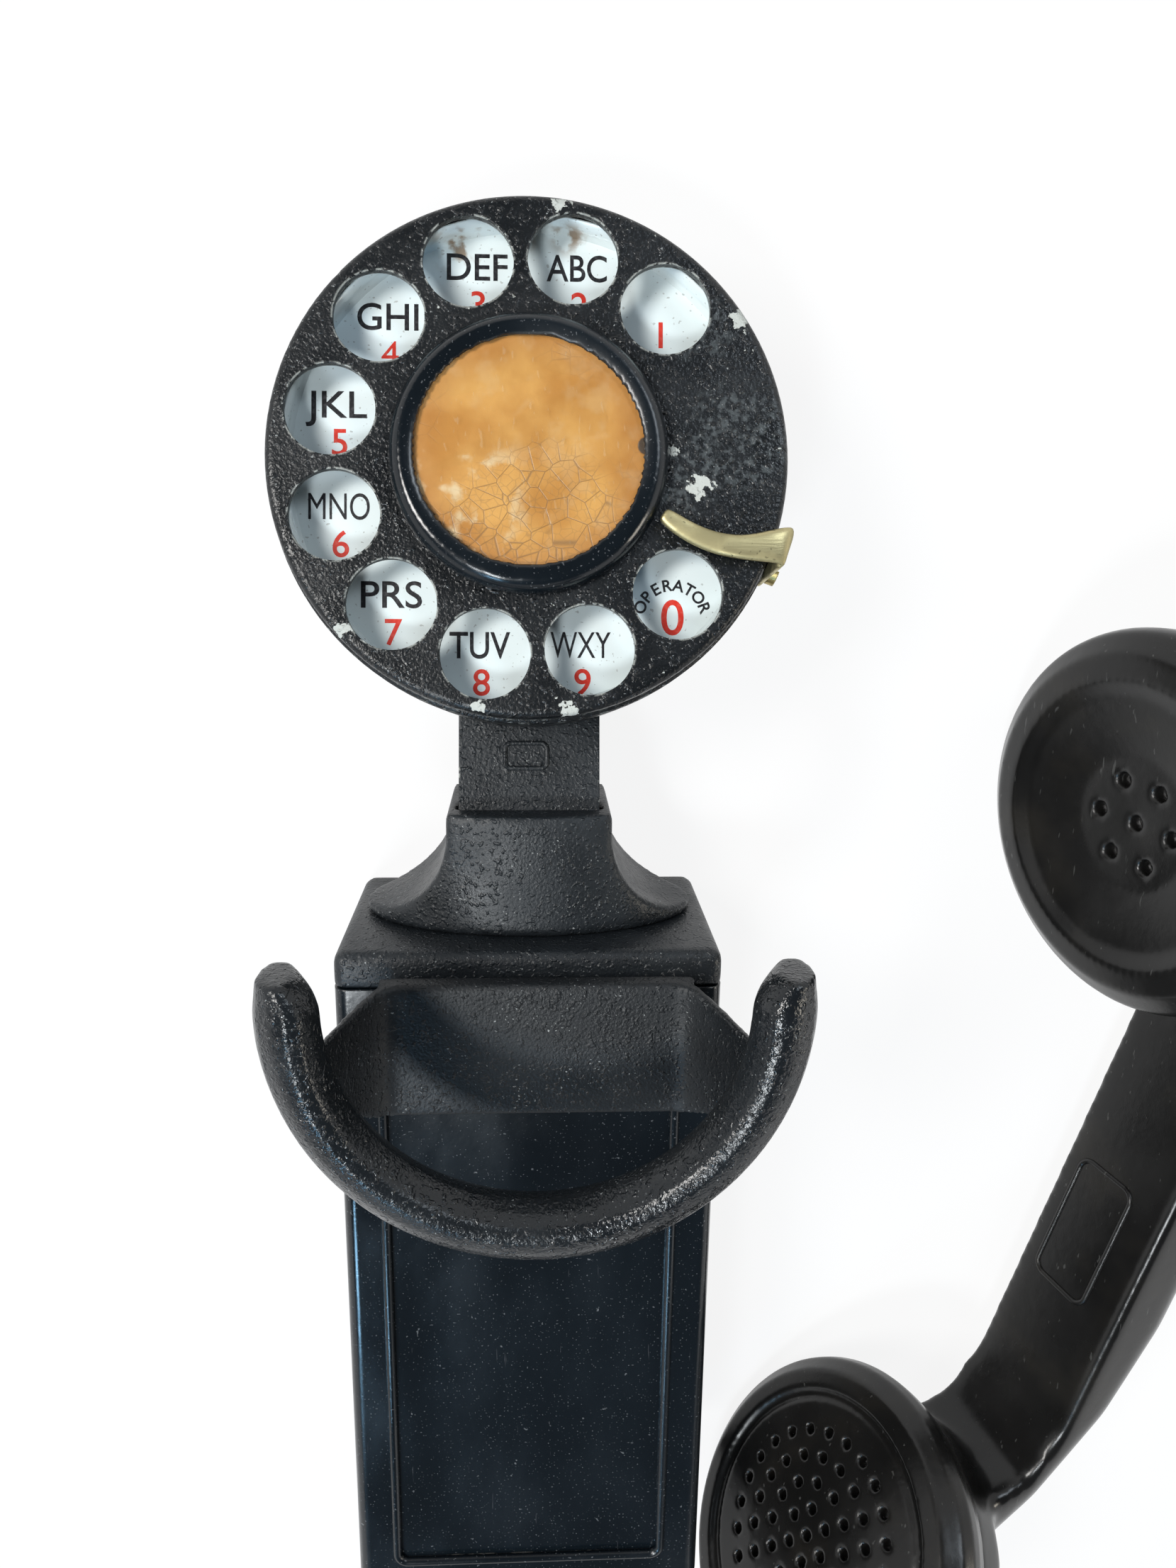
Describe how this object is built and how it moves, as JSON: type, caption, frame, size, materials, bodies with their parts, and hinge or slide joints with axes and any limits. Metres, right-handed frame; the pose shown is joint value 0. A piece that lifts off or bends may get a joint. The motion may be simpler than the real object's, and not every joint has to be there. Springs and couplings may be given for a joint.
{
  "type": "wall telephone",
  "caption": "Narrow hang-up wall telephone with a tilted rotary dial on a flared pedestal, a forked cradle hook and a separate moulded handset.",
  "frame": {"origin": "middle of the wall plate's back face, between the two wall screw holes", "axes": "+X to the right, +Y up the telephone towards the dial, +Z out of its front; it lies on its back"},
  "size_m": [0.1772, 0.2743, 0.0757],
  "materials": {
    "black_paint": "satin",
    "black_casting": "satin",
    "bakelite": "satin",
    "white_enamel": "gloss",
    "brass": "satin",
    "steel": "satin",
    "unit_shell": "satin",
    "card_paper": "matte",
    "clear_window": "gloss",
    "fibre": "matte",
    "rubber": "matte"
  },
  "bodies": {
    "housing": {"front_cover": "black_paint", "top_cap": "black_paint", "dial_case": "black_paint", "dial_bracket": "black_paint", "dial_pedestal": "black_casting", "number_plate": "white_enamel", "finger_stop": "brass", "finger_stop_screw": "brass", "switch_leaves": "brass", "terminal_screws": "brass", "governor_drum": "brass", "pulse_leaves": "brass", "wall_plate": "steel", "cover_screws": "steel", "cap_screws": "steel", "hook_frame": "steel", "frame_screws": "steel", "hook_pivot_pin": "steel", "hook_return_spring": "steel", "switch_screws": "steel", "strip_screws": "steel", "pedestal_screws": "steel", "bracket_screws": "steel", "dial_frame_plate": "steel", "rear_bearing_plate": "steel", "mainspring": "steel", "spring_post": "steel", "switch_insulators": "fibre", "terminal_strip": "fibre", "pulse_insulators": "fibre", "cord_grommets": "rubber"},
    "dial_rotor": {"finger_wheel": "black_casting", "card_ring": "black_casting", "card_plate": "steel", "number_card": "card_paper", "card_window": "clear_window", "dial_shaft": "steel", "wheel_nut": "steel", "main_gear": "brass"},
    "pulse_train": {"pulse_arbor": "steel", "pulse_pinion": "brass", "pulse_gear": "brass", "pulse_cam": "brass"},
    "governor": {"governor_arbor": "steel", "governor_pinion": "brass", "governor_weights": "brass"},
    "hook": {"cradle_hook": "black_casting"},
    "handset": {"handset_handle": "bakelite", "receiver_cap": "bakelite", "transmitter_cap": "bakelite", "receiver_unit": "unit_shell", "receiver_contacts": "brass", "transmitter_unit": "unit_shell", "transmitter_contacts": "brass"}
  },
  "joints": [
    {"name": "dial_turn", "type": "hinge", "parent": "housing", "child": "dial_rotor", "pos_m": [0, 0.1419, 0.0394], "axis": [0, -0.2419, -0.9703], "range_deg": [0, 325], "stiffness_Nm_per_rad": 0.02, "springref_deg": -114.59, "deforming": ["mainspring"]},
    {"name": "pulse_spin", "type": "hinge", "parent": "housing", "child": "pulse_train", "pos_m": [-0.02035, 0.1533, 0.03656], "axis": [0, -0.2419, -0.9703], "range_deg": [-1900, 0]},
    {"name": "governor_spin", "type": "hinge", "parent": "housing", "child": "governor", "pos_m": [-0.0235, 0.14206, 0.03936], "axis": [0, -0.2419, -0.9703], "range_deg": [0, 5600]},
    {"name": "hook_swing", "type": "hinge", "parent": "housing", "child": "hook", "pos_m": [0, 0.05, 0.02], "axis": [1, 0, 0], "range_deg": [0, 8], "stiffness_Nm_per_rad": 0.2, "springref_deg": -20.05, "deforming": ["hook_return_spring"]},
    {"name": "handset_lift", "type": "slide", "parent": "housing", "child": "handset", "axis": [0, 0, 1], "range_m": [0, 0.25]}
  ],
  "couplings": [
    {"joint": "pulse_spin", "follows": "dial_turn", "ratio": -5.7143},
    {"joint": "governor_spin", "follows": "dial_turn", "ratio": 17.143}
  ]
}
